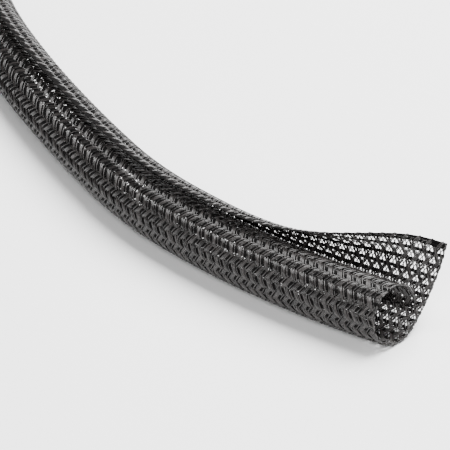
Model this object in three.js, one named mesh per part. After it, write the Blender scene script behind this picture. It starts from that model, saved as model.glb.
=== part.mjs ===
// Self-closing braided cable sleeve: a flat braid of plastic filament, heat set so that it curls
// round a cable bundle and overlaps itself. One piece, lying in a bend on a level surface, with
// its near end cut across and the outer lap of that end opened out like a collar.
// Millimetres, +Z up. The near end faces +X and the far end faces +Y.
import * as THREE from "three";
import { mergeVertices } from "three/addons/utils/BufferGeometryUtils.js";

// Stock
const sleeveLength = 500; // along the middle of the sleeve, from cut to cut
const flatWidth = 80.5; // the braid laid out flat, selvedge to selvedge
const wall = 1.0; // crest to crest through the braid
const innerEdgeRadius = 8.5; // bend of the inner selvedge, at mid-wall
const lapGap = 0.6; // between the inner and the outer lap
const innerRun = 46; // from the inner selvedge round to the underside

// Route on the surface: arcs joined smoothly, from the near end to the far end
const mouthArcLength = 85;
const mouthArcRadius = 287;
const kneeArcLength = 35;
const kneeArcRadius = 160;
const reachArcLength = 95;
const reachArcRadius = 690;
const wholeTurn = Math.PI / 2; // between the two ends, which the last arc makes up

// Outer lap
const mouthOpening = 0.86; // share of its curl that the lap has lost at the near end
const mouthRun = 68; // over which the opening dies away
const mouthEase = 2.4; // how quickly it dies away
const seamLift = 0.1; // share of its curl that the lap has lost everywhere else
const lapHold = 3; // run past the underside that keeps its curl
const lapBlend = 6.4; // run over which the curl is let go
const selvedgeRun = 12; // run before the free selvedge that curls again
const selvedgeCurl = 0.36; // share of the lost curl that it takes back

// Cut of the near end, which isn't square
const cutSkewAcross = 0.25; // forward run for each millimetre towards the open side
const cutSkewUp = -0.15; // forward run for each millimetre above the middle
const cutRun = 30; // over which the stations turn square

// Facets
const widthFacets = 27;
const mouthStep = 5; // between stations near the open end
const stockStep = 14; // between stations of the closed run

const lapPitch = (wall + lapGap) / (2 * Math.PI);
const facet = flatWidth / widthFacets;
const undersideFacet = Math.floor(innerRun / facet); // the one that lies on the surface

/** Bend radius of the closed braid at a place across its width. */
function curlRadius(across) {
  return Math.sqrt(innerEdgeRadius ** 2 + 2 * lapPitch * across);
}

function easeInOut(share) {
  const t = THREE.MathUtils.clamp(share, 0, 1);
  return t * t * (3 - 2 * t);
}

/** Share of its curl that the outer lap has lost at a distance from the near end. */
function opening(along) {
  const left = Math.max(0, 1 - along / mouthRun);
  return seamLift + (mouthOpening - seamLift) * left ** mouthEase;
}

/** Turn of the section between two places across the width. */
function turnBetween(from, to, opened) {
  const steps = 12;
  const underside = (undersideFacet + 0.5) * facet;
  let turn = 0;
  for (let i = 0; i < steps; i += 1) {
    const across = from + ((to - from) * (i + 0.5)) / steps;
    const loosened = easeInOut((across - underside - lapHold) / lapBlend);
    const near = Math.max(0, 1 - (flatWidth - across) / selvedgeRun);
    const lost = opened * loosened * (1 - selvedgeCurl * near);
    turn += ((1 - lost) / curlRadius(across)) * ((to - from) / steps);
  }
  return turn;
}

/** Direction of every facet of the section, from flat on the underside. */
function facetDirections(opened) {
  const directions = new Array(widthFacets).fill(0);
  for (let i = undersideFacet + 1; i < widthFacets; i += 1) {
    directions[i] = directions[i - 1] + turnBetween((i - 0.5) * facet, (i + 0.5) * facet, opened);
  }
  for (let i = undersideFacet - 1; i >= 0; i -= 1) {
    directions[i] = directions[i + 1] - turnBetween((i + 0.5) * facet, (i + 1.5) * facet, opened);
  }
  return directions;
}

/** Closed outline of the wall: its outer side and then its inner side, with y across and z up. */
function sectionOutline(opened) {
  const directions = facetDirections(opened);
  const middle = new Array(widthFacets + 1);
  middle[undersideFacet] = new THREE.Vector2(-facet / 2, wall / 2);
  for (let i = undersideFacet; i < widthFacets; i += 1) {
    const run = new THREE.Vector2(Math.cos(directions[i]), Math.sin(directions[i]));
    middle[i + 1] = middle[i].clone().addScaledVector(run, facet);
  }
  for (let i = undersideFacet - 1; i >= 0; i -= 1) {
    const run = new THREE.Vector2(Math.cos(directions[i]), Math.sin(directions[i]));
    middle[i] = middle[i + 1].clone().addScaledVector(run, -facet);
  }
  const outer = [];
  const inner = [];
  middle.forEach((point, i) => {
    const before = directions[Math.max(0, i - 1)];
    const after = directions[Math.min(widthFacets - 1, i)];
    const half = (after - before) / 2;
    const outward = new THREE.Vector2(Math.sin(before + half), -Math.cos(before + half));
    const reach = wall / 2 / Math.cos(half);
    outer.push(point.clone().addScaledVector(outward, reach));
    inner.push(point.clone().addScaledVector(outward, -reach));
  });
  return [...outer, ...inner.reverse()];
}

/** The route's arcs, the last of which takes up the rest of the length and of the turn. */
function routeArcs() {
  const arcs = [
    { length: mouthArcLength, radius: mouthArcRadius },
    { length: kneeArcLength, radius: kneeArcRadius },
    { length: reachArcLength, radius: reachArcRadius },
  ];
  const before = arcs.reduce((sum, arc) => sum + arc.length, 0);
  const turned = arcs.reduce((sum, arc) => sum + arc.length / arc.radius, 0);
  const rest = sleeveLength - before;
  return [...arcs, { length: rest, radius: rest / (wholeTurn - turned) }];
}

/** Place and heading on the surface at a distance from the near end. */
function routeAt(along) {
  const place = new THREE.Vector2(Math.min(0, along) * -1, 0);
  let heading = 0;
  let left = Math.max(0, along);
  for (const arc of routeArcs()) {
    const run = Math.min(left, arc.length);
    const turn = run / arc.radius;
    const start = new THREE.Vector2(Math.sin(heading), Math.cos(heading));
    const end = new THREE.Vector2(Math.sin(heading + turn), Math.cos(heading + turn));
    place.addScaledVector(start, arc.radius).addScaledVector(end, -arc.radius);
    heading += turn;
    left -= run;
  }
  return { place, heading };
}

/** Distances from the near end at which the sleeve has a section. */
function stationList() {
  const nearCount = Math.round(mouthRun / mouthStep);
  const farCount = Math.round((sleeveLength - mouthRun) / stockStep);
  const near = Array.from({ length: nearCount }, (_, i) => (mouthRun * i) / nearCount);
  const far = Array.from({ length: farCount + 1 }, (_, i) => {
    return mouthRun + ((sleeveLength - mouthRun) * i) / farCount;
  });
  return [...near, ...far];
}

/** One section's outline, set on the route. */
function stationOutline(along) {
  const outline = sectionOutline(opening(along));
  const square = Math.max(0, 1 - along / cutRun) ** 2;
  return outline.map((point) => {
    const skew = cutSkewAcross * point.x + cutSkewUp * (point.y - innerEdgeRadius);
    const { place, heading } = routeAt(along - skew * square);
    return new THREE.Vector3(
      place.x + point.x * Math.sin(heading),
      place.y + point.x * Math.cos(heading),
      point.y,
    );
  });
}

/** The whole wall as one closed body: its sides, and a strip of faces over each cut. */
function sleeveGeometry() {
  const outlines = stationList().map(stationOutline);
  const around = 2 * (widthFacets + 1);
  const last = outlines.length - 1;
  const faces = [];
  for (let i = 0; i < last; i += 1) {
    for (let j = 0; j < around; j += 1) {
      const a = i * around + j;
      const b = i * around + ((j + 1) % around);
      faces.push(a, a + around, b, b, a + around, b + around);
    }
  }
  for (let j = 0; j < widthFacets; j += 1) {
    const across = around - 1 - j;
    faces.push(j, j + 1, across - 1, j, across - 1, across);
    const end = last * around;
    faces.push(end + j, end + across - 1, end + j + 1, end + j, end + across, end + across - 1);
  }
  const geometry = new THREE.BufferGeometry().setFromPoints(outlines.flat());
  geometry.setIndex(faces);
  return mergeVertices(geometry, 1e-4);
}

const braid = new THREE.MeshStandardMaterial({
  name: "charcoal_filament_braid",
  color: 0x1d1d1f,
  roughness: 0.5,
  metalness: 0,
});

/** The one piece, set so that the middle of its box is above the origin. */
function makeSleeve() {
  const geometry = sleeveGeometry();
  geometry.computeBoundingBox();
  const centre = geometry.boundingBox.getCenter(new THREE.Vector3());
  const sleeve = new THREE.Mesh(geometry, braid);
  sleeve.name = "braided_sleeve";
  sleeve.position.set(-centre.x, -centre.y, 0);
  return sleeve;
}

const object = new THREE.Group();
object.add(makeSleeve());

export default object;
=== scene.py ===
"""Braided cable sleeve, dressed: every filament of the braid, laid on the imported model's curled wall.

The sleeve's own sizes are in millimetres, as such stock is made and sold, and a mesh is turned to metres
when it is made. A place on the braid is given by how far it lies along the sleeve from the near end, how
far across the flat width from the inner selvedge, and how high above the middle of the wall, towards the
outside.
"""

import logging
import math
from collections.abc import Iterator
from dataclasses import dataclass, field
from enum import Enum

import bpy
import numpy as np
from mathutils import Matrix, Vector

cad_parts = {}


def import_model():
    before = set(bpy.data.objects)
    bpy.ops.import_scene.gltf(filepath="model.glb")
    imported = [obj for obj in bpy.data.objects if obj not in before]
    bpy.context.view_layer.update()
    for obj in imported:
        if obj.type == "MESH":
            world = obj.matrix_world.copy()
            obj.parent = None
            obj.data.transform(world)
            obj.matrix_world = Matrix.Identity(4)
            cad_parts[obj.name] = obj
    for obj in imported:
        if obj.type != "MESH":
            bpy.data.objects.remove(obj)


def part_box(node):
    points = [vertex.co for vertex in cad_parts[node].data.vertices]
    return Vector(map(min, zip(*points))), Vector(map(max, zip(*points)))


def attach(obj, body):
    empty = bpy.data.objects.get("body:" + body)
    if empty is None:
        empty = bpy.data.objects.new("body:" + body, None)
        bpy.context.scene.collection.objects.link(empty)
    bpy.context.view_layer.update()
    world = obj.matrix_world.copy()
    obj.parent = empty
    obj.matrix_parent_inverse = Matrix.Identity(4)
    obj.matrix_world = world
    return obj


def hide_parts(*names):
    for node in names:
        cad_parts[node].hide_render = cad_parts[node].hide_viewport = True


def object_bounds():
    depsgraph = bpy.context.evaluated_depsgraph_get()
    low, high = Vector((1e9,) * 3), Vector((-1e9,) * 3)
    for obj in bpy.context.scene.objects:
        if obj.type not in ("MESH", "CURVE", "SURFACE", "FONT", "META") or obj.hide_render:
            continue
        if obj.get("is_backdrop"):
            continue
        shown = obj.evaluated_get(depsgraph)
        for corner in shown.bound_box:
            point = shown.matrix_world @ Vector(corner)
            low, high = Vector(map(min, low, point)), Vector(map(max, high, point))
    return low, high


LOG = logging.getLogger("braided_sleeve")
MILLIMETRE = 0.001
CAD_NODE = "braided_sleeve"
PLAIN_TONE = 0.5
QUAD_CORNERS = 4


def ease(share: np.ndarray) -> np.ndarray:
    """Eased share, level at 0 and at 1."""
    t = np.clip(share, 0.0, 1.0)
    return t * t * (3.0 - 2.0 * t)


def running_sum(rate: np.ndarray, places: np.ndarray) -> np.ndarray:
    """Integral of a rate over a row of places, 0 at the first."""
    return np.concatenate([[0.0], np.cumsum((rate[1:] + rate[:-1]) / 2.0 * np.diff(places))])


@dataclass(frozen=True)
class Arc:
    """One arc of the route.

    Args:
        length: Length along the arc.
        radius: Its bend radius.
    """

    length: float
    radius: float


@dataclass(frozen=True)
class Route:
    """The line on the surface that the sleeve's underside follows.

    Args:
        length: From cut to cut.
        bends: Arcs from the near end on; one more takes up the rest of the length and of the turn.
        whole_turn: Turn between the two ends.
    """

    length: float = 500.0
    bends: tuple[Arc, ...] = (Arc(85.0, 287.0), Arc(35.0, 160.0), Arc(95.0, 690.0))
    whole_turn: float = math.pi / 2

    def arcs(self) -> list[Arc]:
        """All the arcs, with the one that takes up the rest."""
        rest = self.length - sum(arc.length for arc in self.bends)
        turned = sum(arc.length / arc.radius for arc in self.bends)
        return [*self.bends, Arc(rest, rest / (self.whole_turn - turned))]

    def at(self, along: np.ndarray) -> tuple[np.ndarray, np.ndarray, np.ndarray]:
        """Places and headings on the route.

        Args:
            along: Distances from the near end; one below 0 lies straight ahead of it.

        Returns:
            x, y, and the heading, which is 0 towards -X and turns towards +Y.
        """
        x = -np.minimum(along, 0.0)
        y = np.zeros_like(x)
        heading = np.zeros_like(x)
        left = np.maximum(along, 0.0)
        for arc in self.arcs():
            run = np.minimum(left, arc.length)
            after = heading + run / arc.radius
            x = x + arc.radius * (np.sin(heading) - np.sin(after))
            y = y + arc.radius * (np.cos(heading) - np.cos(after))
            heading = after
            left = left - run
        return x, y, heading


@dataclass(frozen=True)
class Curl:
    """Section of the sleeve: the flat braid rolled on itself, with its outer lap opened at the near end.

    Args:
        flat_width: From selvedge to selvedge, laid flat.
        wall: Thickness of the wall that the braid fills, crest to crest.
        inner_edge_radius: Bend of the inner selvedge.
        lap_gap: Between the inner and the outer lap.
        inner_run: From the inner selvedge round to the underside.
        mouth_opening: Share of its curl that the outer lap has lost at the near end.
        mouth_run: Length over which the opening dies away.
        mouth_ease: How quickly it dies away.
        seam_lift: Share of its curl that the outer lap has lost everywhere else.
        lap_hold: Run past the underside that keeps its curl.
        lap_blend: Run over which the curl is let go.
        selvedge_run: Run before the free selvedge that curls again.
        selvedge_curl: Share of the lost curl that it takes back.
        samples: Places across the width, and openings, at which the section is worked out.
    """

    flat_width: float = 80.5
    wall: float = 1.0
    inner_edge_radius: float = 8.5
    lap_gap: float = 0.6
    inner_run: float = 46.21
    mouth_opening: float = 0.86
    mouth_run: float = 68.0
    mouth_ease: float = 2.4
    seam_lift: float = 0.1
    lap_hold: float = 3.0
    lap_blend: float = 6.4
    selvedge_run: float = 12.0
    selvedge_curl: float = 0.36
    samples: tuple[int, int] = (806, 41)

    def opening(self, along: np.ndarray) -> np.ndarray:
        """Share of its curl that the outer lap has lost at distances from the near end."""
        left = np.clip(1.0 - along / self.mouth_run, 0.0, 1.0)
        return self.seam_lift + (self.mouth_opening - self.seam_lift) * left**self.mouth_ease

    def bend(self, across: np.ndarray, opened: float) -> np.ndarray:
        """Curvature of the section at places across the width, for one opening of the lap."""
        pitch = (self.wall + self.lap_gap) / (2.0 * math.pi)
        radius = np.sqrt(self.inner_edge_radius**2 + 2.0 * pitch * across)
        loosened = ease((across - self.inner_run - self.lap_hold) / self.lap_blend)
        near_edge = np.clip(1.0 - (self.flat_width - across) / self.selvedge_run, 0.0, 1.0)
        return (1.0 - opened * loosened * (1.0 - self.selvedge_curl * near_edge)) / radius

    def table(self) -> tuple[np.ndarray, np.ndarray, np.ndarray, np.ndarray]:
        """The section, worked out for a row of openings.

        Returns:
            The openings, and for each opening (rows) and place across (columns) how far back the middle of
            the wall lies, how high, and the direction that it runs in.
        """
        places, turns = self.samples
        across = np.linspace(0.0, self.flat_width, places)
        openings = np.linspace(self.seam_lift, self.mouth_opening, turns)
        back, up, direction = (np.zeros((turns, places)) for _ in range(3))
        for row, opened in enumerate(openings):
            direction[row] = self.from_underside(self.bend(across, opened), across)
            back[row] = self.from_underside(np.cos(direction[row]), across)
            up[row] = self.from_underside(np.sin(direction[row]), across) + self.wall / 2.0
        return openings, back, up, direction

    def from_underside(self, rate: np.ndarray, across: np.ndarray) -> np.ndarray:
        """Integral of a rate over the width, 0 at the underside."""
        total = running_sum(rate, across)
        return total - np.interp(self.inner_run, across, total)


@dataclass(frozen=True)
class Wall:
    """The sleeve's wall in the row frame: it turns a place on the braid into a point.

    Args:
        route: The line that the sleeve follows.
        curl: Its section.
        shift: Where the route's start lies in the row frame, in millimetres.
        tables: The curl's table.
    """

    route: Route
    curl: Curl
    shift: tuple[float, float]
    tables: tuple[np.ndarray, ...]

    @classmethod
    def fitted(cls, route: Route, curl: Curl, low: Vector, high: Vector) -> "Wall":
        """The wall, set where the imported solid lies.

        Args:
            route: The line that the sleeve follows.
            curl: Its section.
            low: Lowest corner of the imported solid, in metres.
            high: Its highest corner.

        Returns:
            The wall, with the far cut at the solid's +Y side and the far end's front at its -X side.
        """
        tables = curl.table()
        _, back, _, direction = tables
        end_x, end_y, _ = (float(value[0]) for value in route.at(np.array([route.length])))
        front = float(np.min(back[0] + np.sin(direction[0]) * curl.wall / 2.0))
        shift = (low.x / MILLIMETRE - end_x - front, high.y / MILLIMETRE - end_y)
        return cls(route, curl, shift, tables)

    def section(self, along: np.ndarray, across: np.ndarray) -> tuple[np.ndarray, np.ndarray, np.ndarray]:
        """Back, height and direction of the middle of the wall, read between the table's entries."""
        openings, back, up, direction = self.tables
        turns, places = back.shape
        row = (self.curl.opening(along) - openings[0]) / (openings[-1] - openings[0]) * (turns - 1)
        column = np.clip(across / self.curl.flat_width, 0.0, 1.0) * (places - 1)
        first_row = np.clip(row.astype(int), 0, turns - 2)
        first_column = np.clip(column.astype(int), 0, places - 2)
        past_row, past_column = row - first_row, column - first_column

        def read(table: np.ndarray) -> np.ndarray:
            """One table's values, weighted by how near they lie."""
            near = table[first_row, first_column] * (1.0 - past_column)
            near = near + table[first_row, first_column + 1] * past_column
            far = table[first_row + 1, first_column] * (1.0 - past_column)
            far = far + table[first_row + 1, first_column + 1] * past_column
            return near * (1.0 - past_row) + far * past_row

        return read(back), read(up), read(direction)

    def points(
        self, along: np.ndarray, across: np.ndarray, height: np.ndarray
    ) -> tuple[np.ndarray, np.ndarray]:
        """Points and outward normals in the row frame.

        Args:
            along: Distances from the near end.
            across: Distances from the inner selvedge.
            height: Heights above the middle of the wall.

        Returns:
            Points in millimetres and unit normals, both with one row each.
        """
        back, up, direction = self.section(along, across)
        x, y, heading = self.route.at(along)
        out_back, out_up = np.sin(direction), -np.cos(direction)
        back = back + out_back * height
        x = x + back * np.sin(heading) + self.shift[0]
        y = y + back * np.cos(heading) + self.shift[1]
        points = np.stack([x, y, up + out_up * height], axis=-1)
        normals = np.stack([out_back * np.sin(heading), out_back * np.cos(heading), out_up], axis=-1)
        return points, normals


@dataclass(frozen=True)
class Cuts:
    """The cuts of the two ends: the far one is square, and the near one isn't.

    Args:
        wall: The wall that is cut.
        across: Forward run of the near cut for each millimetre towards the open side.
        up: Its forward run for each millimetre above the level of the section's middle.
        middle: That level.
        reach: How far along the near cut is felt.
        rounds: Corrections by which the near cut's line is found.
    """

    wall: Wall
    across: float = 0.25
    up: float = -0.15
    middle: float = 8.5
    reach: float = 40.0
    rounds: int = 12

    def past_near(self, along: np.ndarray, across: np.ndarray) -> np.ndarray:
        """How far places on the braid lie past the near cut."""
        back, up, _ = self.wall.section(along, across)
        ahead = self.across * back + self.up * (up - self.middle)
        return along + np.where(along < self.reach, ahead, 0.0)

    def before_far(self, along: np.ndarray) -> np.ndarray:
        """How far places on the braid lie before the far cut."""
        return self.wall.route.length - along

    def near_line(self, across: np.ndarray, inset: float) -> np.ndarray:
        """How far along the near cut lies at places across the width, moved in by an inset."""
        along = np.zeros_like(across)
        for _ in range(self.rounds):
            along = along + inset - self.past_near(along, across)
        return along


@dataclass
class TubeMesh:
    """Many closed tubes gathered into one mesh, each with a corner at its crest.

    Args:
        sides: Sides of every tube.
    """

    CREST_TURN = 0.25

    sides: int
    rings: list[np.ndarray] = field(default_factory=list)
    tones: list[np.ndarray] = field(default_factory=list)
    counts: list[int] = field(default_factory=list)

    def add(
        self, centres: np.ndarray, normals: np.ndarray, radii: tuple[np.ndarray, np.ndarray], tone: float
    ) -> None:
        """Adds one tube.

        Args:
            centres: Its line of centres, in millimetres.
            normals: The direction at each centre that it is upright in.
            radii: Its radius sideways and its radius upright at each centre.
            tone: Its shade, from 0 to 1.
        """
        tangents = np.gradient(centres, axis=0)
        tangents /= np.linalg.norm(tangents, axis=1, keepdims=True)
        sideways = np.cross(tangents, normals)
        sideways /= np.linalg.norm(sideways, axis=1, keepdims=True)
        upright = np.cross(sideways, tangents)
        # the corners lie outside the circle, so that a tube of few sides looks as wide as a round one
        girth = math.pi / (self.sides * math.sin(math.pi / self.sides))
        angles = 2.0 * math.pi * (np.arange(self.sides) / self.sides + self.CREST_TURN)
        spread = (girth * radii[0])[:, None, None] * np.cos(angles)[:, None] * sideways[:, None, :]
        spread = spread + (girth * radii[1])[:, None, None] * np.sin(angles)[:, None] * upright[:, None, :]
        self.rings.append(centres[:, None, :] + spread)
        self.tones.append(np.full(len(centres) * self.sides, tone))
        self.counts.append(len(centres))

    def faces(self) -> tuple[np.ndarray, np.ndarray]:
        """Corner indices of all the faces, and where each face's corners start."""
        corners, starts, first, placed = [], [], 0, 0
        j = np.arange(self.sides)
        after = (j + 1) % self.sides
        for count in self.counts:
            ring = first + np.arange(count - 1)[:, None] * self.sides
            onward = ring + self.sides
            quads = np.stack([ring + j, onward + j, onward + after, ring + after], axis=-1)
            corners.append(quads.reshape(-1))
            starts.append(placed + QUAD_CORNERS * np.arange(quads.size // QUAD_CORNERS))
            placed += quads.size
            last = first + (count - 1) * self.sides
            corners.extend([first + j, last + j[::-1]])
            starts.append(placed + self.sides * np.arange(2))
            placed += 2 * self.sides
            first += count * self.sides
        return np.concatenate(corners), np.concatenate(starts)

    def build(self, name: str) -> bpy.types.Object:
        """Makes the mesh, in metres.

        Args:
            name: Name of the object.

        Returns:
            The object, linked to the scene.
        """
        points = np.concatenate([ring.reshape(-1, 3) for ring in self.rings]) * MILLIMETRE
        corners, starts = self.faces()
        mesh = bpy.data.meshes.new(name)
        mesh.vertices.add(len(points))
        mesh.vertices.foreach_set("co", points.astype(np.float32).ravel())
        mesh.loops.add(len(corners))
        mesh.loops.foreach_set("vertex_index", corners.astype(np.int32))
        mesh.polygons.add(len(starts))
        mesh.polygons.foreach_set("loop_start", starts.astype(np.int32))
        tone = mesh.attributes.new(FilamentFinish.TONE, "FLOAT", "POINT")
        tone.data.foreach_set("value", np.concatenate(self.tones).astype(np.float32))
        mesh.update(calc_edges=True)
        mesh.shade_smooth()
        made = bpy.data.objects.new(name, mesh)
        bpy.context.scene.collection.objects.link(made)
        return made


class Yarn(Enum):
    """The two yarns that take turns in the braid, by their filaments that lie side by side."""

    TOW = 4
    SINGLE = 1


@dataclass(frozen=True)
class Stretch:
    """A stretch of the braid that is one mesh.

    Args:
        name: Name of the piece.
        end: Where it ends, along the sleeve.
        sides: Sides of each filament.
        fine: Whether a filament has a ring halfway between its crossings too, and not only at them.
    """

    name: str
    end: float
    sides: int
    fine: bool


@dataclass(frozen=True)
class Ripple:
    """A slow wave in how evenly the braid lies.

    Args:
        size: How far it moves the braid.
        along: Its length along the sleeve.
        across: Its length across the width.
    """

    size: float
    along: float
    across: float


@dataclass(frozen=True)
class Line:
    """A filament's line of places on the braid, towards the far end.

    Args:
        run: Crossings passed at each place, from the start of its strand.
        along: Distances from the near end.
        across: Distances from the inner selvedge.
        height: Heights above the middle of the wall.
    """

    run: np.ndarray
    along: np.ndarray
    across: np.ndarray
    height: np.ndarray

    def picked(self, chosen: np.ndarray) -> "Line":
        """The same line with only some of its places."""
        return Line(self.run[chosen], self.along[chosen], self.across[chosen], self.height[chosen])


@dataclass
class Braid:
    """The two families of strands that cross from selvedge to selvedge, over two and under two.

    Levels count the crossings of a strand on its way over the width, and a strand climbs one level in a
    quarter of the braid's period. Each strand floats on the outside for two levels and on the inside for
    the next two. Two strands leave the inner selvedge in each period.

    Args:
        wall: Where the braid lies.
        cuts: Where it ends.
        rows: Pairs of levels across the width, which is also the strands that run each way.
        tension: Levels between the selvedges and how far across they lie, tightest in the middle.
        periods: Places along the sleeve and the braid's period there, which grows where it is drawn out.
        grid_places: Places along the sleeve at which the phase is worked out.
        filament: Radius of a filament.
        tow_pitch: Between the filaments of a tow.
        crown: How much higher the middle of a tow lies than its edges.
        relief: Height of a float's crest above the middle of the wall.
        float_shape: Power of a strand's wave, less than 1 for flat floats and steep crossings.
        first_change: Level at which a strand first passes through the middle of the wall.
        single_lag: How far the single filaments lag behind the middle between the tows.
        turns: Levels by which each kind of strand turns short of a sharp corner at the selvedge.
        turn_blend: Levels over which a strand changes from one family to the other there.
        turn_bundle: Share of its width that a tow keeps there.
        stray: How far strands stray sideways.
        stray_waves: Levels in a radian of each of the two waves in which they stray.
        drawn: Ripples in how far the braid is drawn along.
        dented: Ripples in how far it stands out.
        uneven_cut: How far behind the cuts a filament may end, at least and at most.
        stretches: The meshes that the braid is made in.
        seed: Seed of the braid's unevenness.
    """

    LEVELS_IN_PERIOD = 4.0
    STRANDS_IN_PERIOD = 2.0
    HALF_LEVEL = 0.5

    wall: Wall
    cuts: Cuts
    rows: int = 27
    tension: tuple[tuple[float, float], ...] = ((9.5, 15.4), (21.5, 32.8), (46.0, 66.7), (52.0, 76.9))
    periods: tuple[tuple[float, float], ...] = (
        (-20.0, 3.2), (50.0, 3.28), (80.0, 3.36), (90.0, 3.5), (100.0, 3.85), (110.0, 4.25), (120.0, 4.65),
        (140.0, 5.2), (175.0, 5.9), (215.0, 5.2), (280.0, 3.8), (330.0, 3.4), (520.0, 3.3),
    )
    grid_places: int = 2161
    filament: float = 0.165
    tow_pitch: float = 0.33
    crown: float = 0.11
    relief: float = 0.3
    float_shape: float = 0.2
    first_change: float = 0.5
    single_lag: float = 0.25
    turns: dict[Yarn, float] = field(default_factory=lambda: {Yarn.TOW: 0.3, Yarn.SINGLE: 0.75})
    turn_blend: float = 1.1
    turn_bundle: float = 0.35
    stray: float = 0.03
    stray_waves: tuple[float, float] = (3.7, 1.9)
    drawn: tuple[Ripple, ...] = (Ripple(0.1, 50.0, 38.0), Ripple(0.07, 27.0, 56.0))
    dented: tuple[Ripple, ...] = (Ripple(0.018, 60.0, 46.0), Ripple(0.012, 107.0, 26.0))
    uneven_cut: tuple[float, float] = (0.13, 0.6)
    stretches: tuple[Stretch, ...] = (
        Stretch("braid_mouth", 40.0, 6, True),
        Stretch("braid_near_run", 96.0, 5, True),
        Stretch("braid_knee", 180.0, 4, True),
        Stretch("braid_reach", 340.0, 3, False),
        Stretch("braid_far_end", 500.0, 3, False),
    )
    seed: int = 5

    def __post_init__(self) -> None:
        """Works out the phase along the sleeve and the levels across, and draws the ripples' starts."""
        self.random = np.random.default_rng(self.seed)
        places, periods = np.array(self.periods).T
        self.grid = np.linspace(places[0], places[-1], self.grid_places)
        self.phase = running_sum(1.0 / np.interp(self.grid, places, periods), self.grid)
        margin = self.filament + (Yarn.TOW.value - 1) / 2.0 * self.tow_pitch * self.turn_bundle
        first = (self.turns[Yarn.TOW], margin)
        last = (2.0 * self.rows - first[0], self.wall.curl.flat_width - margin)
        self.levels, self.places = np.array([first, *self.tension, last]).T
        self.waves = self.random.uniform(0.0, 2.0 * math.pi, (len(self.drawn) + len(self.dented), 2))

    def rippled(self, ripples: tuple[Ripple, ...], waves: np.ndarray, line: Line) -> np.ndarray:
        """Sum of some ripples at a line's places."""
        total = np.zeros_like(line.along)
        for ripple, (first, second) in zip(ripples, waves):
            lengthwise = np.sin(2.0 * math.pi * line.along / ripple.along + first)
            crosswise = np.sin(2.0 * math.pi * line.across / ripple.across + second)
            total = total + ripple.size * lengthwise * crosswise
        return total

    def lines(self, number: int, yarn: Yarn) -> Iterator[Line]:
        """The filaments of a strand, uncut, with a place at every half level.

        Args:
            number: The strand's number along the inner selvedge, which sets where it starts.
            yarn: What it is made of.

        Yields:
            The line of each filament.
        """
        top = 2.0 * self.rows
        lead = number / self.STRANDS_IN_PERIOD
        start, stop = (self.LEVELS_IN_PERIOD * (phase - lead) for phase in (self.phase[0], self.phase[-1]))
        run = np.arange(math.ceil(start / self.HALF_LEVEL) * self.HALF_LEVEL, stop, self.HALF_LEVEL)
        folded = np.mod(run, 2.0 * top)
        to_outer = np.abs(folded - top)
        to_inner = top - to_outer
        bend = self.turns[yarn]
        level = np.where(to_inner < to_outer, np.hypot(to_inner, bend), top - np.hypot(to_outer, bend))
        turned = ease(np.minimum(to_inner, to_outer) / self.turn_blend)
        side = np.where(folded < top, turned, -turned)
        along = np.interp(lead + run / self.LEVELS_IN_PERIOD, self.phase, self.grid)
        if yarn is Yarn.SINGLE:
            along = along - self.single_lag * side
        across = np.interp(level, self.levels, self.places)
        step = np.hypot(np.gradient(along), np.gradient(across))
        slow, quick = self.stray_waves
        first, second = self.random.uniform(0.0, 2.0 * math.pi, 2)
        strayed = self.stray * (np.sin(run / slow + first) + np.sin(run / quick + second))
        for place in range(yarn.value):
            beside = (place - (yarn.value - 1) / 2.0) * self.tow_pitch
            offset = beside * (self.turn_bundle + (1.0 - self.turn_bundle) * turned) + strayed
            own_along = along - offset * np.gradient(across) / step
            own_across = across + offset * np.gradient(along) / step
            own_level = np.interp(own_across, self.places, self.levels)
            wave = np.sin(math.pi / 2.0 * (own_level - self.first_change))
            height = self.relief * np.sign(wave) * np.abs(wave) ** self.float_shape
            if yarn is Yarn.TOW:
                edge = abs(beside) / self.tow_pitch * 2.0 / (yarn.value - 1)
                height = height * (1.0 - self.crown / self.relief * edge**2)
                height = height + (1.0 - turned) * self.filament * (1.0 if place % 2 else -1.0)
            yield Line(run, own_along, own_across, side * height)

    def laid(self, line: Line) -> Line:
        """A line with the braid's unevenness, cut at both ends."""
        near, far = self.random.uniform(*self.uneven_cut, 2)
        along = line.along + self.rippled(self.drawn, self.waves[: len(self.drawn)], line)
        height = line.height + self.rippled(self.dented, self.waves[len(self.drawn) :], line)
        inside = (self.cuts.past_near(along, line.across) >= near) & (self.cuts.before_far(along) >= far)
        kept = np.flatnonzero(inside)
        if len(kept) == 0:
            return line.picked(kept)
        return Line(line.run, along, line.across, height).picked(np.arange(kept[0], kept[-1] + 1))

    def share(self, line: Line, meshes: list[TubeMesh]) -> None:
        """Lays a filament in the stretches that it runs through, which meet at a common ring.

        Args:
            line: The filament's line.
            meshes: The stretches' meshes.
        """
        tone = self.random.uniform(0.0, 1.0)
        first = 0
        for mesh, stretch in zip(meshes, self.stretches):
            within = np.flatnonzero(line.along[first:] <= stretch.end)
            if len(within) < 2:
                continue
            last = min(first + within[-1] + 1, len(line.run) - 1)
            chosen = np.arange(first, last + 1)
            if not stretch.fine:
                whole = np.mod(line.run[chosen], 1.0) == 0.0
                whole[[0, -1]] = True
                chosen = chosen[whole]
            part = line.picked(chosen)
            points, normals = self.wall.points(part.along, part.across, part.height)
            radius = np.full(len(chosen), self.filament)
            mesh.add(points, normals, (radius, radius), tone)
            first = last

    def build(self) -> list[bpy.types.Object]:
        """Makes the meshes of all the stretches.

        Returns:
            Their objects, from the near end on.
        """
        meshes = [TubeMesh(stretch.sides) for stretch in self.stretches]
        for number in range(2 * self.rows):
            yarn = Yarn.SINGLE if number % 2 else Yarn.TOW
            for line in self.lines(number, yarn):
                self.share(self.laid(line), meshes)
        return [mesh.build(stretch.name) for mesh, stretch in zip(meshes, self.stretches)]


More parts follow.
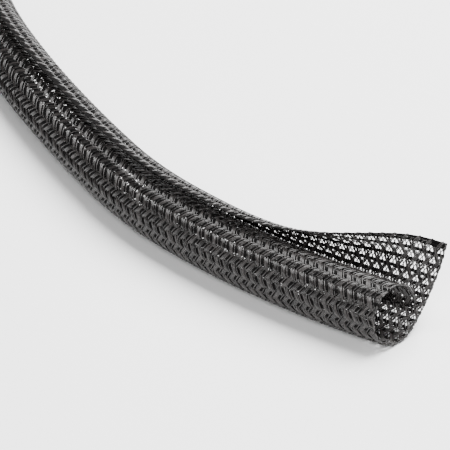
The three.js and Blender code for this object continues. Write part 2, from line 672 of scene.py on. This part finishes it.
@dataclass
class Fillers:
    """The dull yarns that run straight along the sleeve, held between the two families under every float.

    Args:
        braid: The braid that holds them.
        width: Width of each at the opened end, where the braid is spread.
        closed_width: Its width in the closed run, where the curl presses it flat.
        closing_run: Length from the near end over which it widens.
        thickness: Its thickness.
        first_level: Level of the first; there is one to every two levels.
        selvedge: How near to each selvedge the middle of one more lies, which makes a dense edge. At the
            opened end the others lie beside it.
        inset: From its ends to the cuts.
        places: Places along it that shape it.
        sides: Its sides.
        stray: How far it strays sideways.
        stray_length: Length of that wave.
    """

    braid: Braid
    width: float = 1.05
    closed_width: float = 1.55
    closing_run: float = 42.0
    thickness: float = 0.22
    first_level: float = 1.5
    selvedge: float = 0.8
    inset: float = 0.2
    places: int = 196
    sides: int = 8
    stray: float = 0.06
    stray_length: float = 17.0

    def middles(self) -> np.ndarray:
        """How far across the middle of each of them lies."""
        braid, beside = self.braid, self.selvedge + self.width
        flat_width = braid.wall.curl.flat_width
        levels = self.first_level + 2.0 * np.arange(braid.rows)
        woven = np.clip(np.interp(levels, braid.levels, braid.places), beside, flat_width - beside)
        return np.concatenate([[self.selvedge], woven, [flat_width - self.selvedge]])

    def build(self) -> bpy.types.Object:
        """Makes all of them as one mesh."""
        mesh = TubeMesh(self.sides)
        braid = self.braid
        wall = braid.wall
        for middle in self.middles():
            near = float(braid.cuts.near_line(np.array([middle]), self.inset)[0])
            along = np.linspace(near, wall.route.length - self.inset, self.places)
            start = braid.random.uniform(0.0, 2.0 * math.pi)
            across = middle + self.stray * np.sin(2.0 * math.pi * along / self.stray_length + start)
            points, normals = wall.points(along, across, np.zeros_like(across))
            width = self.width + (self.closed_width - self.width) * ease(along / self.closing_run)
            thickness = np.full(len(points), self.thickness)
            mesh.add(points, normals, (width / 2.0, thickness / 2.0), PLAIN_TONE)
        return mesh.build("filler_yarns")


@dataclass
class SealedEdges:
    """The cut edges, where the filaments' ends are melted together by the hot knife.

    Args:
        cuts: The cuts of the two ends.
        width: How far along the filaments are melted.
        thickness: Thickness of the melted edge.
        unevenness: Share by which both vary.
        inset: From its middle to the cut, so that filaments' ends stand out past it.
        step: Between the places that shape it.
        sides: Its sides.
        seed: Seed of its unevenness.
    """

    cuts: Cuts
    width: float = 0.56
    thickness: float = 0.4
    unevenness: float = 0.6
    inset: float = 0.6
    step: float = 0.45
    sides: int = 8
    seed: int = 11

    def build(self) -> bpy.types.Object:
        """Makes both edges as one mesh."""
        random = np.random.default_rng(self.seed)
        wall = self.cuts.wall
        mesh = TubeMesh(self.sides)
        edge = wall.curl.wall / 2.0
        across = np.arange(edge, wall.curl.flat_width - edge, self.step)
        far = np.full_like(across, wall.route.length - self.inset)
        for along in (self.cuts.near_line(across, self.inset), far):
            uneven = 1.0 + self.unevenness * random.uniform(-1.0, 1.0, len(across))
            points, normals = wall.points(along, across, np.zeros_like(across))
            radii = (self.width / 2.0 * uneven, self.thickness / 2.0 * uneven)
            mesh.add(points, normals, radii, PLAIN_TONE)
        return mesh.build("sealed_edges")


class Shade:
    """An output socket that can be used in arithmetic."""

    def __init__(self, nodes: "Nodes", socket: bpy.types.NodeSocket) -> None:
        """Wraps a socket.

        Args:
            nodes: The nodes that it belongs to.
            socket: The socket.
        """
        self.nodes = nodes
        self.socket = socket

    def maths(self, operation: str, other: "Shade | float") -> "Shade":
        """A Math node on this value and another."""
        return self.nodes.add("ShaderNodeMath", {"operation": operation}, {0: self, 1: other})

    def __add__(self, other: "Shade | float") -> "Shade":
        """Sum."""
        return self.maths("ADD", other)

    __radd__ = __add__

    def __mul__(self, other: "Shade | float") -> "Shade":
        """Product."""
        return self.maths("MULTIPLY", other)

    __rmul__ = __mul__


class Nodes:
    """The nodes of one material, with the numbers of the sockets that are picked by number."""

    MIX_COLOURS = {"data_type": "RGBA"}
    FACTOR, FIRST, SECOND, RESULT = 0, 6, 7, 2
    ATTRIBUTE_VALUE = 2
    OBJECT_PLACE = 3

    def __init__(self, name: str) -> None:
        """Starts a material with its surface shader alone."""
        self.material = bpy.data.materials.new(name)
        self.material.use_nodes = True
        self.tree = self.material.node_tree

    def fill(self, socket: bpy.types.NodeSocket, value: "Shade | float | tuple[float, ...]") -> None:
        """Links a shade to a socket, or sets the socket's own value."""
        if isinstance(value, Shade):
            self.tree.links.new(value.socket, socket)
        else:
            socket.default_value = value

    def add(
        self, kind: str, settings: dict[str, object], sockets: dict[int | str, object], output: int = 0
    ) -> Shade:
        """Adds a node.

        Args:
            kind: Its type.
            settings: Its settings, which are set first.
            sockets: Values or links of its sockets.
            output: Which output is wanted.

        Returns:
            That output.
        """
        node = self.tree.nodes.new(kind)
        for name, value in settings.items():
            setattr(node, name, value)
        for key, value in sockets.items():
            self.fill(node.inputs[key], value)
        return Shade(self, node.outputs[output])

    def surface(self, sockets: dict[str, object]) -> bpy.types.Material:
        """Fills the surface shader's sockets and gives the finished material."""
        shader = self.tree.nodes["Principled BSDF"]
        for name, value in sockets.items():
            self.fill(shader.inputs[name], value)
        return self.material


@dataclass(frozen=True)
class FilamentFinish:
    """Charcoal polyester filament: smooth, glossy, and no two filaments quite alike.

    Args:
        dark: Colour of the darkest filaments.
        light: Colour of the lightest.
        smooth: Roughness of the smoothest.
        dull: Roughness of the dullest.
    """

    TONE = "filament_tone"

    dark: tuple[float, float, float, float] = (0.005, 0.0045, 0.0044, 1.0)
    light: tuple[float, float, float, float] = (0.036, 0.032, 0.031, 1.0)
    smooth: float = 0.18
    dull: float = 0.36

    def material(self) -> bpy.types.Material:
        """Builds the material."""
        nodes = Nodes("charcoal_filament")
        tone = nodes.add("ShaderNodeAttribute", {"attribute_name": self.TONE}, {}, nodes.ATTRIBUTE_VALUE)
        mixed = {nodes.FACTOR: tone, nodes.FIRST: self.dark, nodes.SECOND: self.light}
        colour = nodes.add("ShaderNodeMix", nodes.MIX_COLOURS, mixed, nodes.RESULT)
        roughness = tone * (self.dull - self.smooth) + self.smooth
        return nodes.surface({"Base Color": colour, "Roughness": roughness})


@dataclass(frozen=True)
class FillerFinish:
    """Dull black yarn of very fine fibres.

    Args:
        colour: Its colour.
        roughness: Its roughness.
        gloss: Level of its gloss, which is 0.5 for smooth plastic.
        fibre_scale: Fibres in each metre of its surface.
        fibre_depth: Depth between them, in metres.
    """

    colour: tuple[float, float, float, float] = (0.004, 0.0038, 0.0038, 1.0)
    roughness: float = 0.8
    gloss: float = 0.05
    fibre_scale: float = 9000.0
    fibre_depth: float = 0.00003

    def material(self) -> bpy.types.Material:
        """Builds the material."""
        nodes = Nodes("dull_filler_yarn")
        place = nodes.add("ShaderNodeTexCoord", {}, {}, nodes.OBJECT_PLACE)
        fibres = nodes.add("ShaderNodeTexNoise", {}, {"Vector": place, "Scale": self.fibre_scale})
        bump = nodes.add("ShaderNodeBump", {}, {"Height": fibres, "Distance": self.fibre_depth})
        look = {"Base Color": self.colour, "Roughness": self.roughness, "Specular IOR Level": self.gloss}
        return nodes.surface({**look, "Normal": bump})


@dataclass(frozen=True)
class SealedFinish:
    """Filament that has melted and set again.

    Args:
        colour: Its colour.
        roughness: Its roughness.
        lump_scale: Lumps in each metre of its surface.
        lump_depth: Their depth, in metres.
    """

    colour: tuple[float, float, float, float] = (0.018, 0.0165, 0.016, 1.0)
    roughness: float = 0.5
    lump_scale: float = 2500.0
    lump_depth: float = 0.0001

    def material(self) -> bpy.types.Material:
        """Builds the material."""
        nodes = Nodes("sealed_filament")
        place = nodes.add("ShaderNodeTexCoord", {}, {}, nodes.OBJECT_PLACE)
        lumps = nodes.add("ShaderNodeTexNoise", {}, {"Vector": place, "Scale": self.lump_scale})
        bump = nodes.add("ShaderNodeBump", {}, {"Height": lumps, "Distance": self.lump_depth})
        return nodes.surface({"Base Color": self.colour, "Roughness": self.roughness, "Normal": bump})


@dataclass(frozen=True)
class Lamp:
    """A soft square lamp that points at the sleeve.

    Args:
        name: Its name.
        place: Where it hangs, in metres.
        size: Length of its sides.
        power: Its power, in watts.
    """

    name: str
    place: tuple[float, float, float]
    size: float
    power: float


@dataclass(frozen=True)
class Studio:
    """Pale floor, soft lights and the camera.

    Args:
        azimuth: Turn of the camera round the object, in degrees.
        elevation: Height of the camera above the horizon, in degrees.
        distance: From the camera to the point that it looks at, in metres.
        aim: That point, on the floor.
        lens: Focal length, in millimetres on a sensor of the usual width.
        sensor: That width, in millimetres.
        clip: How near and how far the camera sees, in metres.
        floor_half: Half of the floor's side, in metres.
        floor_colour: Colour of the floor.
        floor_roughness: Its roughness.
        sky: Strength of the light from all round.
        sky_colour: Colour of that light.
        lamps: The lamps.
    """

    azimuth: float = 30.1
    elevation: float = 32.0
    distance: float = 0.704
    aim: tuple[float, float, float] = (0.0841, -0.1261, 0.0)
    lens: float = 174.4
    sensor: float = 36.0
    clip: tuple[float, float] = (0.01, 20.0)
    floor_half: float = 3.0
    floor_colour: tuple[float, float, float, float] = (0.95, 0.95, 0.95, 1.0)
    floor_roughness: float = 0.7
    sky: float = 0.1
    sky_colour: tuple[float, float, float, float] = (1.0, 1.0, 1.0, 1.0)
    lamps: tuple[Lamp, ...] = (
        Lamp("key", (0.2, 0.3, 0.85), 1.0, 51.0),
        Lamp("fill", (0.3, -0.65, 0.45), 0.3, 4.2),
    )

    def camera(self) -> None:
        """Sets the scene's camera."""
        turn, rise = math.radians(self.azimuth), math.radians(self.elevation)
        back = Vector((math.sin(turn) * math.cos(rise), -math.cos(turn) * math.cos(rise), math.sin(rise)))
        data = bpy.data.cameras.new("camera")
        data.lens = self.lens
        data.sensor_width = self.sensor
        data.clip_start, data.clip_end = self.clip
        eye = bpy.data.objects.new("camera", data)
        eye.location = Vector(self.aim) + back * self.distance
        eye.rotation_mode = "QUATERNION"
        eye.rotation_quaternion = (-back).to_track_quat("-Z", "Y")
        bpy.context.scene.collection.objects.link(eye)
        bpy.context.scene.camera = eye

    def floor(self) -> None:
        """Lays the pale floor."""
        half = self.floor_half
        mesh = bpy.data.meshes.new("floor")
        corners = [(-half, -half, 0.0), (half, -half, 0.0), (half, half, 0.0), (-half, half, 0.0)]
        mesh.from_pydata(corners, [], [(0, 1, 2, 3)])
        look = {"Base Color": self.floor_colour, "Roughness": self.floor_roughness}
        mesh.materials.append(Nodes("pale_floor").surface(look))
        made = bpy.data.objects.new("floor", mesh)
        bpy.context.scene.collection.objects.link(made)
        made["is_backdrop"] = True

    def hang(self, lamp: Lamp) -> None:
        """Hangs one lamp."""
        data = bpy.data.lights.new(lamp.name, "AREA")
        data.size = lamp.size
        data.energy = lamp.power
        made = bpy.data.objects.new(lamp.name, data)
        made.location = lamp.place
        made.rotation_mode = "QUATERNION"
        made.rotation_quaternion = (Vector(self.aim) - Vector(lamp.place)).to_track_quat("-Z", "Y")
        bpy.context.scene.collection.objects.link(made)

    def light(self) -> None:
        """Lights the scene from all round and by the lamps."""
        world = bpy.data.worlds.new("studio")
        world.use_nodes = True
        background = world.node_tree.nodes["Background"]
        background.inputs["Color"].default_value = self.sky_colour
        background.inputs["Strength"].default_value = self.sky
        bpy.context.scene.world = world
        for lamp in self.lamps:
            self.hang(lamp)


def dress(piece: bpy.types.Object, finish: bpy.types.Material) -> None:
    """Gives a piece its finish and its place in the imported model, and reports it.

    Args:
        piece: The piece.
        finish: Its material.
    """
    piece.data.materials.append(finish)
    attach(piece, "root")
    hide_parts(CAD_NODE)
    triangles = sum(len(face.vertices) - 2 for face in piece.data.polygons)
    LOG.info("%s: %d triangles", piece.name, triangles)


def corners(box: tuple[Vector, Vector]) -> list[list[float]]:
    """A box's two corners as plain lists."""
    return [list(corner) for corner in box]


def main() -> None:
    """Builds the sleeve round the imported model, and the studio round the sleeve."""
    logging.basicConfig(level=logging.INFO, format="%(name)s: %(message)s")
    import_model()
    cad_box = corners(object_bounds())
    studio = Studio()
    studio.camera()
    studio.floor()
    studio.light()
    wall = Wall.fitted(Route(), Curl(), *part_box(CAD_NODE))
    braid = Braid(wall, Cuts(wall))
    filament = FilamentFinish().material()
    for piece in braid.build():
        dress(piece, filament)
    dress(Fillers(braid).build(), FillerFinish().material())
    dress(SealedEdges(braid.cuts).build(), SealedFinish().material())
    {"cad": cad_box, "visual": corners(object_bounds())}


if __name__ == "__main__":
    main()
